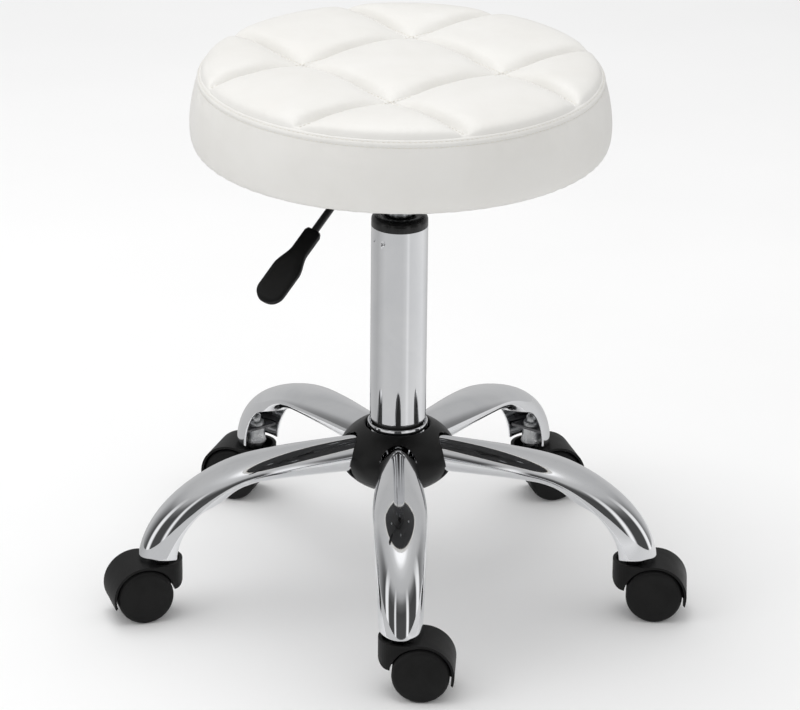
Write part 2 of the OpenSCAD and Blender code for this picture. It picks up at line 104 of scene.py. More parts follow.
# ---------------------------------------------------------------- materials
class Tree:
    """A material's node tree, with one Principled shader."""

    def __init__(self, name, rough, metallic=0.0, **sockets):
        self.mat = bpy.data.materials.new(name)
        self.mat.use_nodes = True
        self.nt = self.mat.node_tree
        self.nt.nodes.clear()
        out = self.add("ShaderNodeOutputMaterial")
        self.bsdf = self.add("ShaderNodeBsdfPrincipled")
        self.nt.links.new(self.bsdf.outputs[0], out.inputs[0])
        self.set("Metallic", metallic)
        self.set("Roughness", rough)
        for key, value in sockets.items():
            self.set(key.replace("_", " "), value)
        self.coords = self.add("ShaderNodeTexCoord").outputs["Object"]

    def add(self, kind):
        return self.nt.nodes.new(kind)

    def set(self, socket, value):
        self.bsdf.inputs[socket].default_value = value

    def link(self, a, b):
        self.nt.links.new(a, b)

    def stretched(self, scale):
        node = self.add("ShaderNodeMapping")
        node.inputs["Scale"].default_value = scale
        self.link(self.coords, node.inputs["Vector"])
        return node.outputs[0]

    def noise(self, scale, detail=3.0, rough=0.5, coords=None, warp=0.0):
        node = self.add("ShaderNodeTexNoise")
        node.inputs["Scale"].default_value = scale
        node.inputs["Detail"].default_value = detail
        node.inputs["Roughness"].default_value = rough
        node.inputs["Distortion"].default_value = warp
        self.link(coords or self.coords, node.inputs["Vector"])
        return node.outputs["Fac"]

    def cells(self, scale, feature="F1", coords=None, randomness=1.0):
        node = self.add("ShaderNodeTexVoronoi")
        node.feature = feature
        node.inputs["Scale"].default_value = scale
        node.inputs["Randomness"].default_value = randomness
        self.link(coords or self.coords, node.inputs["Vector"])
        return node.outputs["Distance"]

    def map(self, value, low, high, to_low, to_high):
        node = self.add("ShaderNodeMapRange")
        for i, v in enumerate((low, high, to_low, to_high)):
            node.inputs[i + 1].default_value = v
        self.link(value, node.inputs[0])
        return node.outputs[0]

    def math(self, kind, a, b):
        node = self.add("ShaderNodeMath")
        node.operation = kind
        for i, v in enumerate((a, b)):
            if isinstance(v, (int, float)):
                node.inputs[i].default_value = v
            else:
                self.link(v, node.inputs[i])
        return node.outputs[0]

    def colours(self, value, stops):
        node = self.add("ShaderNodeValToRGB")
        ramp = node.color_ramp
        while len(ramp.elements) < len(stops):
            ramp.elements.new(0.5)
        for element, (at, rgb) in zip(ramp.elements, stops):
            element.position = at
            element.color = (*rgb, 1)
        self.link(value, node.inputs[0])
        self.link(node.outputs[0], self.bsdf.inputs["Base Color"])

    def roughness(self, value, low, high, to_low, to_high):
        self.link(self.map(value, low, high, to_low, to_high), self.bsdf.inputs["Roughness"])

    def bump(self, value, height_mm, strength=1.0, before=None):
        node = self.add("ShaderNodeBump")
        node.inputs["Strength"].default_value = strength
        node.inputs["Distance"].default_value = height_mm * MM
        self.link(value, node.inputs["Height"])
        if before is not None:
            self.link(before, node.inputs["Normal"])
        self.link(node.outputs[0], self.bsdf.inputs["Normal"])
        return node.outputs[0]


def grey(v):
    return (v, v, v)


def chrome_material():
    t = Tree("chrome", 0.05, 1.0)
    smudge = t.noise(26, 4, 0.6, warp=0.6)
    t.colours(smudge, [(0.3, (0.80, 0.81, 0.83)), (0.7, (0.86, 0.865, 0.88))])
    fine = t.noise(900, 3, 0.6, coords=t.stretched((1, 1, 0.15)))
    t.roughness(t.math("MULTIPLY", smudge, fine), 0.1, 0.45, 0.025, 0.075)
    t.bump(t.noise(40, 2, 0.4), 0.02, 0.35)
    return t.mat


def steel_material(name, low, high, rough, scale):
    t = Tree(name, rough, 1.0)
    mottle = t.noise(scale, 5, 0.65, warp=0.4)
    t.colours(mottle, [(0.3, low), (0.72, high)])
    t.roughness(t.noise(scale * 2.3, 4), 0.3, 0.7, rough - 0.07, rough + 0.1)
    t.bump(t.noise(scale * 14, 3), 0.03, 0.4)
    return t.mat


def painted_material(name, low, high, rough, coat=0.0):
    t = Tree(name, rough, Coat_Weight=coat, Coat_Roughness=0.12)
    t.colours(t.noise(60, 5, 0.6), [(0.3, low), (0.7, high)])
    t.roughness(t.noise(130, 4, 0.6), 0.3, 0.7, rough - 0.06, rough + 0.08)
    t.bump(t.noise(420, 3, 0.5), 0.05, 0.5)
    return t.mat


def plastic_material(name, low, high, rough, grain, height, specular=0.5):
    """Moulded plastic with a spark-eroded grain, dust-like pale specks and soft handling marks."""
    t = Tree(name, rough, Specular_IOR_Level=specular)
    handling = t.noise(38, 5, 0.62, warp=0.5)
    specks = t.map(t.noise(2600, 2, 0.5), 0.66, 0.8, 0, 0.12)
    t.colours(t.math("ADD", handling, specks), [(0.3, low), (0.75, high)])
    t.roughness(handling, 0.3, 0.7, rough - 0.05, rough + 0.09)
    pits = t.math("ADD", t.cells(grain), t.noise(grain * 1.7, 2, 0.6))
    t.bump(pits, height, 0.6)
    return t.mat


def leather_material():
    """White leatherette: fine pebbled grain, pores, faint soft creases and slightly uneven ivory tint."""
    t = Tree("white_leather", 0.42, Specular_IOR_Level=0.42, Coat_Weight=0.06, Coat_Roughness=0.3)
    cloud = t.noise(16, 4, 0.55, warp=0.3)
    t.colours(cloud, [(0.25, (0.755, 0.742, 0.71)), (0.75, (0.80, 0.79, 0.765))])
    t.roughness(t.noise(95, 4, 0.6), 0.3, 0.7, 0.36, 0.5)
    pebble = t.cells(1150, "DISTANCE_TO_EDGE", coords=t.stretched((1, 1, 1)))
    pebble = t.map(pebble, 0.0, 0.16, 0.0, 1.0)
    pores = t.map(t.noise(2400, 2, 0.5), 0.35, 0.65, 0.0, 0.5)
    grain = t.bump(t.math("ADD", pebble, pores), 0.045, 0.5)
    t.bump(t.noise(150, 3, 0.6, warp=0.8), 0.08, 0.35, before=grain)
    return t.mat


def thread_material():
    t = Tree("seat_thread", 0.6, Sheen_Weight=0.3)
    twist = t.add("ShaderNodeTexWave")
    twist.bands_direction = "DIAGONAL"
    twist.inputs["Scale"].default_value = 900
    twist.inputs["Distortion"].default_value = 1.5
    t.link(t.coords, twist.inputs["Vector"])
    ply = twist.outputs["Fac"]
    # darker in the grooves of the twist, where the bump is low: painted shade
    t.colours(ply, [(0.1, (0.66, 0.63, 0.55)), (0.8, (0.84, 0.81, 0.74))])
    t.roughness(ply, 0.0, 1.0, 0.7, 0.52)
    t.bump(ply, 0.06, 0.8)
    return t.mat


def lining_material():
    """Spun black lining: matted fibres and a pressed dot pattern."""
    t = Tree("lining_cloth", 0.85, Sheen_Weight=0.35, Sheen_Roughness=0.5)
    fibres = t.noise(700, 6, 0.75, warp=2.2)
    t.colours(fibres, [(0.3, grey(0.006)), (0.7, (0.026, 0.026, 0.028))])
    dots = t.map(t.cells(420, randomness=0.08), 0.15, 0.32, 0.0, 1.0)
    t.roughness(fibres, 0.3, 0.7, 0.72, 0.93)
    first = t.bump(dots, 0.15, 0.5)
    t.bump(fibres, 0.12, 0.6, before=first)
    return t.mat


def wood_material():
    t = Tree("plywood", 0.62)
    plies = t.noise(60, 4, 0.6, coords=t.stretched((1, 1, 22)), warp=0.5)
    t.colours(plies, [(0.25, (0.33, 0.2, 0.1)), (0.55, (0.6, 0.43, 0.26)), (0.8, (0.72, 0.55, 0.36))])
    t.roughness(plies, 0.2, 0.8, 0.5, 0.75)
    t.bump(plies, 0.15, 0.5)
    return t.mat


def foam_material(name, low, high):
    t = Tree(name, 0.9)
    holes = t.cells(900)
    # darker in the pores, where the bump is low: painted shade
    t.colours(holes, [(0.1, low), (0.7, high)])
    t.roughness(holes, 0.0, 1.0, 0.8, 0.97)
    t.bump(holes, 0.3, 0.6)
    return t.mat


# Metals as low tone, high tone, roughness and size of the mottle
METALS = {
    "zinc_steel": ((0.40, 0.41, 0.42), (0.66, 0.665, 0.67), 0.3, 90),
    # zinc darkened to stand in for the shade inside the leg claws: painted shade
    "painted_shade_zinc": ((0.10, 0.10, 0.105), (0.2, 0.2, 0.205), 0.42, 90),
    "ground_steel": (grey(0.55), grey(0.68), 0.18, 220),
    "cylinder_metal": ((0.36, 0.37, 0.385), (0.45, 0.46, 0.47), 0.16, 70),
    "valve_brass": ((0.52, 0.36, 0.14), (0.74, 0.56, 0.27), 0.28, 110),
}
# Plastics as low tone, high tone, roughness, size and height of the grain, and shine where it isn't 0.5
PLASTICS = {
    "black_plastic": (0.003, 0.008, 0.4, 1500, 0.035, 0.2),
    "hub_plastic": (0.003, 0.009, 0.36, 1300, 0.03, 0.3),
    "hood_plastic": (0.003, 0.009, 0.45, 1200, 0.045, 0.2),
    "wheel_plastic": (0.004, 0.011, 0.48, 1000, 0.05, 0.2),
    "tread_plastic": (0.008, 0.028, 0.6, 420, 0.09, 0.25),
    "bush_plastic": (0.005, 0.012, 0.27, 1800, 0.015),
    "seal_plastic": (0.02, 0.045, 0.5, 1400, 0.03),
    "bumper_rubber": (0.012, 0.03, 0.72, 700, 0.06, 0.3),
}
MATS = {
    "chrome_plate": chrome_material(),
    "black_steel": painted_material("black_steel", grey(0.008), grey(0.02), 0.36, coat=0.25),
    "plywood": wood_material(),
    "lining_cloth": lining_material(),
    "foam": foam_material("foam", (0.42, 0.37, 0.22), (0.72, 0.68, 0.5)),
    "white_leather": leather_material(),
    "thread": thread_material(),
}
for name, values in METALS.items():
    MATS[name] = steel_material(name, *values)
for name, (low, high, *rest) in PLASTICS.items():
    MATS[name] = plastic_material(name, grey(low), grey(high), *rest)


# ---------------------------------------------------------------- mesh helpers
def make_object(name, verts, faces, mat, smooth=True, sharp=None):
    """A mesh object from points in mm."""
    me = bpy.data.meshes.new(name)
    points = np.asarray(verts, float) * MM
    me.from_pydata(points.tolist(), [], [list(map(int, f)) for f in faces])
    me.update()
    me.materials.append(MATS[mat])
    if smooth:
        me.shade_smooth()
        if sharp:
            me.set_sharp_from_angle(angle=math.radians(sharp))
    return add_object(name, me)


def place(obj, body, slot, *nodes):
    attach(obj, body)
    if nodes:
        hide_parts(*nodes)
    return obj


def grid_faces(rows, cols, wrap_cols=True, wrap_rows=False):
    """Quads over a rows x cols grid of points."""
    out = []
    for i in range(rows if wrap_rows else rows - 1):
        a, b = i * cols, ((i + 1) % rows) * cols
        for j in range(cols if wrap_cols else cols - 1):
            k = (j + 1) % cols
            out.append((a + j, a + k, b + k, b + j))
    return out


def tube_faces(rings, sides, base=0):
    """Faces of a tube of rings of points with both ends closed, its first point numbered base."""
    out = [[base + k for k in f] for f in grid_faces(rings, sides)]
    out.append([base + k for k in range(sides)][::-1])
    out.append([base + (rings - 1) * sides + k for k in range(sides)])
    return out


def hoop(r, z, a):
    """Points at the angles a on a circle of radius r and height z."""
    return np.stack([r * np.cos(a), r * np.sin(a), z + 0 * a], 1)


def turned(points, angle):
    """Points turned about the vertical axis."""
    p = np.asarray(points, float)
    c, s = math.cos(angle), math.sin(angle)
    return np.stack([p[:, 0] * c - p[:, 1] * s, p[:, 0] * s + p[:, 1] * c, p[:, 2]], 1)


def edge_counts(faces):
    """How many faces meet at each edge."""
    out = {}
    for f in faces:
        for a, b in zip(f, f[1:] + f[:1]):
            key = (min(a, b), max(a, b))
            out[key] = out.get(key, 0) + 1
    return out


def rim_points(edges, points):
    """The points of the open edge, in order round the middle."""
    rim = sorted({k for e, c in edges.items() if c == 1 for k in e})
    return sorted(rim, key=lambda k: math.atan2(points[k][1], points[k][0]))


def add_ring(points, faces, ring, fresh):
    """Joins a new ring of points to the last one, and returns the numbers of its points."""
    new = [len(points) + k for k in range(len(ring))]
    points += fresh
    for m in range(len(ring)):
        q = (m + 1) % len(ring)
        faces.append([ring[m], new[m], new[q], ring[q]])
    return new


def rounded(profile, radius, steps=4):
    """Closed profile of (r, z) with its corners rounded; a point may carry its own radius."""
    out = []
    n = len(profile)
    for i in range(n):
        r_here = profile[i][2] if len(profile[i]) > 2 else radius
        p = np.array(profile[i][:2], float)
        a = np.array(profile[i - 1][:2], float) - p
        b = np.array(profile[(i + 1) % n][:2], float) - p
        la, lb = np.linalg.norm(a), np.linalg.norm(b)
        cut = min(r_here, la * 0.45, lb * 0.45)
        if cut < 1e-4 or abs(np.dot(a, b)) / (la * lb) > 0.999:
            out.append(p)
            continue
        p0, p1 = p + a / la * cut, p + b / lb * cut
        for k in range(steps + 1):
            t = k / steps
            out.append((1 - t) ** 2 * p0 + 2 * t * (1 - t) * p + t * t * p1)
    return out


def revolve(name, profile, mat, seg=128, centre=(0, 0), sharp=32):
    """A closed ring or solid of revolution; its profile runs anticlockwise in (r, z)."""
    prof = np.array(profile, float)
    ang = np.arange(seg) * 2 * math.pi / seg
    verts = np.empty((len(prof), seg, 3))
    verts[:, :, 0] = prof[:, :1] * np.cos(ang) + centre[0]
    verts[:, :, 1] = prof[:, :1] * np.sin(ang) + centre[1]
    verts[:, :, 2] = prof[:, 1:]
    faces = grid_faces(len(prof), seg, True, True)
    return make_object(name, verts.reshape(-1, 3), faces, mat, sharp=sharp)


def evaluated(obj):
    """Replaces the object's mesh by what its modifiers make of it."""
    dg = bpy.context.evaluated_depsgraph_get()
    me = bpy.data.meshes.new_from_object(obj.evaluated_get(dg), depsgraph=dg)
    obj.modifiers.clear()
    obj.data = me
    return obj


def box_mm(node):
    lo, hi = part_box(node)
    return np.array(lo) / MM, np.array(hi) / MM


def bezier(p, t):
    p = np.asarray(p, float)
    t = np.asarray(t, float)[..., None]
    return (1 - t) ** 3 * p[0] + 3 * t * (1 - t) ** 2 * p[1] + 3 * t * t * (1 - t) * p[2] + t ** 3 * p[3]


def ease(x):
    c = np.clip(x, 0, 1)
    return c * c * (3 - 2 * c)


def bell(x, width):
    return np.exp(-(x / width) ** 2)


def bevel(obj, width_mm, segments, angle):
    w = obj.modifiers.new("weld", "WELD")
    w.merge_threshold = 0.01 * MM
    b = obj.modifiers.new("bevel", "BEVEL")
    b.width = width_mm * MM
    b.segments = segments
    b.limit_method = "ANGLE"
    b.angle_limit = math.radians(angle)
    b.harden_normals = False
    n = obj.modifiers.new("normals", "WEIGHTED_NORMAL")
    n.keep_sharp = True
    return obj


def wobble(seed, a, terms, low, high):
    """A smooth periodic wave of unit height over angle a, repeatable from its seed."""
    rng = np.random.default_rng(seed)
    out = np.zeros_like(a)
    for k in rng.integers(low, high, terms):
        out += rng.uniform(0.4, 1.0) * np.sin(k * a + rng.uniform(0, 2 * math.pi))
    return out / math.sqrt(terms)


# ---------------------------------------------------------------- seat
# The band bulges out to about this radius
BULGE_R = 182.5
BAND_FOOT = box_mm("side_band")[0][2]
COVER_LO, COVER_HI = box_mm("seat_cover")
SEAM_R = (COVER_HI[0] - COVER_LO[0]) / 2
SEAM_Z = COVER_LO[2] - 0.1
BOARD_TOP = box_mm("seat_board")[1][2]
# The sewn lines' distance from the middle, their turn, and how far the quilting thread runs outside them
LINE_OFF = 58.7
QUILT_TURN = math.radians(37.9)
STITCH_IN = 2.6
# The cover's mesh has this many quads from the middle to a sewn line
QUILT_CELLS = 14
STEP = LINE_OFF / QUILT_CELLS
# The pads end level with the CAD crown; a point may swell this far in the simulation
PILLOW_H = COVER_HI[2] - SEAM_Z - 1.1
PUFF_CAP = 3.0


def quilt_uv(x, y):
    c, s = math.cos(QUILT_TURN), math.sin(QUILT_TURN)
    return x * c + y * s, -x * s + y * c


def cushion_base(r):
    return SEAM_Z + 1.1 * (1 - (r / SEAM_R) ** 2)


def quilt_mesh():
    """A flat disc of quads whose edges follow the sewn lines, with regular rings at the rim."""
    n = int(SEAM_R / STEP) + 2
    inner_r = SEAM_R - 9.0
    index, verts, faces = {}, [], []
    for i in range(-n, n):
        for j in range(-n, n):
            if math.hypot((i + 0.5) * STEP, (j + 0.5) * STEP) < inner_r - 0.8:
                quad = []
                for di, dj in ((0, 0), (1, 0), (1, 1), (0, 1)):
                    key = (i + di, j + dj)
                    if key not in index:
                        index[key] = len(verts)
                        verts.append((key[0] * STEP, key[1] * STEP))
                    quad.append(index[key])
                faces.append(quad)
    v = np.array(verts)
    edges = edge_counts(faces)
    rim = rim_points(edges, v)
    on_u = np.isclose(np.abs(v[:, 0]), LINE_OFF)
    on_v = np.isclose(np.abs(v[:, 1]), LINE_OFF)
    rr = np.hypot(v[:, 0], v[:, 1])
    v[rim] *= (inner_r / rr[rim])[:, None]
    near = [[] for _ in v]
    for a, b in edges:
        near[a].append(b)
        near[b].append(a)
    rim_set = set(rim)
    free = [k for k in range(len(v)) if k not in rim_set and rr[k] > inner_r - 22]
    for _ in range(12):
        w = v.copy()
        for k in free:
            w[k] = 0.4 * v[k] + 0.6 * v[near[k]].mean(0)
            if on_u[k]:
                w[k][0] = v[k][0]
            if on_v[k]:
                w[k][1] = v[k][1]
        v = w
    ring, points = rim, v.tolist()
    for r in (SEAM_R - 5.6, SEAM_R - 2.6, SEAM_R):
        ring = add_ring(points, faces, ring, [(v[k] * r / inner_r).tolist() for k in rim])
    uv = np.array(points)
    c, s = math.cos(QUILT_TURN), math.sin(QUILT_TURN)
    xy = np.stack([uv[:, 0] * c - uv[:, 1] * s, uv[:, 0] * s + uv[:, 1] * c], 1)
    return xy, uv, faces, ring


def puff_rise(d, reach):
    """How far a stuffed pad has risen, from 0 to 1, at distance d from the seam that holds it down."""
    t = np.clip(d / reach, 0, 1)
    return (1 - (1 - t) ** 3) ** 0.58


def seam_distance(w):
    """Distance from the nearest sewn line of one family; a flat lapped strip lies outside each line."""
    w = np.abs(w)
    return np.where(w < LINE_OFF, LINE_OFF - w, np.maximum(w - LINE_OFF - STEP, 0))


def pillow_height(u, v, r):
    """Nine stuffed pads: steep beside the middle of each seam, shallow where two seams cross."""
    du, dv = seam_distance(u), seam_distance(v)
    steep = puff_rise(du, 46 - 27 * ease(dv / 50)) * puff_rise(dv, 46 - 27 * ease(du / 50))
    dome = puff_rise(du, 60) * puff_rise(dv, 60)
    return PILLOW_H * steep * (0.8 + 0.2 * dome) * puff_rise(np.maximum(SEAM_R - r, 0), 40)


def puffed(xy, uv, faces):
    """Height of each point after the cover is blown up like cloth held at its seams."""
    r = np.hypot(xy[:, 0], xy[:, 1])
    base = cushion_base(r)
    au, av = np.abs(uv[:, 0]), np.abs(uv[:, 1])
    sewn = np.zeros(len(r), bool)
    for w in (au, av):
        sewn |= (w > LINE_OFF - 0.3) & (w < LINE_OFF + STEP + 0.3)
    held = sewn | (r > SEAM_R - 0.5)
    full = pillow_height(uv[:, 0], uv[:, 1], r)
    start = base + 0.9 * full
    obj = make_object("cloth_form", np.column_stack([xy, start]), faces, "white_leather")
    group = obj.vertex_groups.new(name="held")
    group.add([int(k) for k in np.nonzero(held)[0]], 1.0, "REPLACE")
    cloth = obj.modifiers.new("cloth", "CLOTH")
    s = cloth.settings
    s.quality = 7
    s.use_pressure = True
    s.uniform_pressure_force = 4
    s.vertex_group_mass = "held"
    s.mass = 0.2
    s.tension_stiffness = s.compression_stiffness = 15
    s.shear_stiffness = 8
    s.bending_stiffness = 3
    s.effector_weights.gravity = 0
    cloth.point_cache.frame_start, cloth.point_cache.frame_end = 1, 20
    for f in range(1, 21):
        SCENE.frame_set(f)
    dg = bpy.context.evaluated_depsgraph_get()
    me = obj.evaluated_get(dg).to_mesh()
    co = np.empty(len(me.vertices) * 3)
    me.vertices.foreach_get("co", co)
    z = co.reshape(-1, 3)[:, 2] / MM
    bpy.data.objects.remove(obj)
    SCENE.frame_set(1)
    moved = z - start
    top = np.percentile(moved[full > 0.8 * PILLOW_H], 90)
    moved *= 0.1 * PILLOW_H / max(top, 0.05)
    return start + np.clip(moved, -1.0, PUFF_CAP)


def seat_top():
    xy, uv, faces, rim = quilt_mesh()
    z = puffed(xy, uv, faces)
    form = make_object("seat_top", np.column_stack([xy, z]), faces, "white_leather")
    sub = form.modifiers.new("sub", "SUBSURF")
    sub.levels = sub.render_levels = 2
    sub.boundary_smooth = "ALL"
    evaluated(form)
    me = form.data
    co = np.empty(len(me.vertices) * 3)
    me.vertices.foreach_get("co", co)
    p = co.reshape(-1, 3) / MM
    x, y = p[:, 0], p[:, 1]
    r = np.hypot(x, y)
    u, v = quilt_uv(x, y)
    edge = SEAM_R - r
    near_rim = np.clip(edge / 4, 0, 1)
    change = np.zeros_like(r)
    # the lapped strip beside each sewn line: a crease, a low ridge, and the needle line beyond it
    for w, along, seed in ((np.abs(u), v, 3), (np.abs(v), u, 11)):
        s = (w - LINE_OFF) / STEP
        ridge = 0.95 * np.sqrt(np.clip(np.sin(math.pi * np.clip(s, 0, 1)), 0, 1))
        crease = -0.9 * bell(w - LINE_OFF, 0.9)
        crease = crease - 0.8 * bell(w - LINE_OFF - STEP, 1.0)
        needle = -0.35 * bell(w - LINE_OFF - STITCH_IN, 0.7)
        change += (ridge + crease + needle) * near_rim
        d = np.where(s < 0.5, np.abs(w - LINE_OFF), np.abs(w - LINE_OFF - STEP))
        wave = wobble(seed, along / SEAM_R * math.pi, 10, 30, 75)
        change += 0.13 * wave * bell(d - 3, 4.5) * (1 - bell(d, 1.6)) * near_rim
    a = np.arctan2(y, x)
    change += 0.12 * wobble(5, a, 12, 60, 150) * bell(edge - 4, 4)
    far = np.clip(np.minimum(edge, 14) / 14, 0, 1)
    change += 0.22 * wobble(9, u / 60 + 0.4 * np.sin(v / 47), 4, 1, 4) * far
    p[:, 2] += change - 1.6 * bell(edge, 1.5)
    # close the form: down inside the band and across the board
    polys = [list(f.vertices) for f in me.polygons]
    rim = rim_points(edge_counts(polys), p)
    around = [math.atan2(p[k][1], p[k][0]) for k in rim]
    points = p.tolist()
    ring = rim
    for rr, zz in ((SEAM_R - 1.2, SEAM_Z - 4), (SEAM_R - 0.6, 462), (171.4, 440), (168, BOARD_TOP + 0.3),
                   (90, BOARD_TOP + 0.3)):
        ring = add_ring(points, polys, ring, [[rr * math.cos(t), rr * math.sin(t), zz] for t in around])
    points.append([0, 0, BOARD_TOP + 0.3])
    for m in range(len(rim)):
        polys.append([ring[m], len(points) - 1, ring[(m + 1) % len(rim)]])
    bpy.data.objects.remove(form)
    obj = make_object("seat_top", points, polys, "white_leather", sharp=60)
    place(obj, "seat", "white_leather", "seat_cover", "seat_foam")
    return obj


def band_profile(n=96):
    """Outer line of the side band from its foot up to the seam, as (r, z)."""
    curve = [[176, BAND_FOOT], [BULGE_R + 3.1, BAND_FOOT], [BULGE_R + 2.1, 455], [SEAM_R + 0.4, SEAM_Z]]
    t = np.linspace(0, 1, 400)
    p = bezier(curve, t)
    s = np.concatenate([[0], np.cumsum(np.hypot(*np.diff(p, axis=0).T))])
    want = np.linspace(0, s[-1], n)
    return np.stack([np.interp(want, s, p[:, 0]), np.interp(want, s, p[:, 1])], 1), want[-1] - want


# The two rows of topstitching lie this far below the rim seam
ROW_1, ROW_2 = 2.3, 7.0
THREADS_PER_ROW = 250


def side_band():
    """The leather strip round the seat: its two rows of needle marks, bulge and folded foot."""
    prof, below = band_profile()
    seg = 720
    a = np.arange(seg) * 2 * math.pi / seg
    tangent = np.gradient(prof, axis=0)
    tangent /= np.linalg.norm(tangent, axis=1)[:, None]
    normal = np.stack([tangent[:, 1], -tangent[:, 0]], 1)
    strip = 0.75 * bell(below - 4.6, 2.6) - 0.45 * bell(below - ROW_1, 0.7)
    strip = strip - 0.6 * bell(below - ROW_2, 0.8) - 1.5 * bell(below, 0.9)
    gather = wobble(21, a, 14, 90, 190)
    ripple = wobble(22, a, 9, 18, 70)
    slow = wobble(23, a, 4, 3, 9)
    lift = strip[:, None] + 0.13 * gather[None, :] * bell(below - 6.5, 4.5)[:, None]
    lift = lift + 0.16 * ripple[None, :] * bell(below - 12, 9)[:, None]
    foot = bell(below.max() - below, 9)
    lift = lift + 0.3 * slow[None, :] * np.sin(np.clip(below / below.max(), 0, 1) * math.pi)[:, None]
    lift = lift + 0.25 * wobble(24, a, 10, 40, 110)[None, :] * foot[:, None]
    lift = np.clip(lift, -2.2, 1.6)
    outer_r = prof[:, 0][:, None] + normal[:, 0][:, None] * lift
    outer_z = prof[:, 1][:, None] + normal[:, 1][:, None] * lift
    rows = []
    under = [(163.0, BAND_FOOT + 0.9), (163.4, BAND_FOOT + 0.15), (166, BAND_FOOT), (171, BAND_FOOT)]
    for r, z in under:
        pleat = (0.0 if r < 164 else 0.22) * np.clip(wobble(25, a, 12, 70, 160), -1, 1)
        rows.append(hoop(r, np.maximum(z + pleat * 0.6, BAND_FOOT - 0.2), a))
    for k in range(len(prof)):
        rows.append(hoop(outer_r[k], outer_z[k], a))
    inner = [(SEAM_R - 0.9, SEAM_Z - 2.4), (176.5, 475), (180, 462), (181.2, 446), (179.5, 430),
             (174, BAND_FOOT + 1.5), (163.0, BAND_FOOT + 1.5)]
    for r, z in inner:
        rows.append(hoop(r, z, a))
    faces = grid_faces(len(rows), seg, True, True)
    obj = make_object("seat_band", np.concatenate(rows), faces, "white_leather", sharp=70)
    place(obj, "seat", "white_leather", "side_band")
    return obj, prof, normal, below, lift


def capsule_row(threads, radius, sides=6):
    """Many short curved threads, each bowed up from its two needle holes."""
    verts, faces = [], []
    for start, end, up in threads:
        base = len(verts)
        axis = end - start
        side = axis.cross(up).normalized()
        for k in range(5):
            t = k / 4
            bow = math.sin(math.pi * t)
            c = start + axis * t + up * (0.34 * bow - 0.2)
            rad = radius * (0.45 + 0.55 * math.sqrt(max(bow, 0)))
            for m in range(sides):
                w = 2 * math.pi * m / sides
                verts.append(c + (side * math.cos(w) + up * math.sin(w)) * rad)
        faces += tube_faces(5, sides, base)
    return [tuple(v) for v in verts], faces


def stitches(top, prof, normal, below, lift):
    """Topstitching below the rim seam, and the quilting thread in the grooves."""
    tree = BVHTree.FromObject(top, bpy.context.evaluated_depsgraph_get())
    rows = []
    seg = lift.shape[1]
    count = THREADS_PER_ROW
    for depth in (ROW_1, ROW_2):
        r0 = np.interp(depth, below[::-1], prof[::-1, 0])
        z0 = np.interp(depth, below[::-1], prof[::-1, 1])
        n0 = np.array([np.interp(depth, below[::-1], normal[::-1, i]) for i in (0, 1)])
        for k in range(count):
            ends = []
            for t in (k + 0.14, k + 0.86):
                a = 2 * math.pi * t / count
                pos = a / (2 * math.pi) * seg
                row = int(np.argmin(np.abs(below - depth)))
                h = lift[row][int(pos) % seg] + 0.12
                rr, zz = r0 + n0[0] * h, z0 + n0[1] * h
                ends.append(Vector((rr * math.cos(a), rr * math.sin(a), zz)))
            a = 2 * math.pi * (k + 0.5) / count
            up = Vector((n0[0] * math.cos(a), n0[0] * math.sin(a), n0[1])).normalized()
            rows.append((ends[0], ends[1], up))
    verts, faces = capsule_row(rows, 0.27)
    rim = make_object("rim_stitches", verts, faces, "thread")
    place(rim, "seat", "white_leather")
    quilt = []
    c, s = math.cos(QUILT_TURN), math.sin(QUILT_TURN)
    half = math.sqrt(SEAM_R ** 2 - LINE_OFF ** 2) - 4
    pitch = 4.3
    n = int(2 * half / pitch)
    for family in (0, 1):
        for side in (-1, 1):
            for k in range(n):
                ends = []
                for t in (k + 0.15, k + 0.85):
                    w = -half + t * pitch
                    off = side * (LINE_OFF + STITCH_IN)
                    u, v = (off, w) if family == 0 else (w, off)
                    x, y = u * c - v * s, u * s + v * c
                    hit = tree.ray_cast(Vector((x * MM, y * MM, 0.6)), Vector((0, 0, -1)))[0]
                    ends.append(Vector((x, y, hit.z / MM + 0.12)))
                axis = (ends[1] - ends[0]).normalized()
                up = (Vector((0, 0, 1)) - axis * axis.z).normalized()
                quilt.append((ends[0], ends[1], up))
    verts, faces = capsule_row(quilt, 0.25)
    obj = make_object("quilt_stitches", verts, faces, "thread")
    place(obj, "seat", "white_leather")


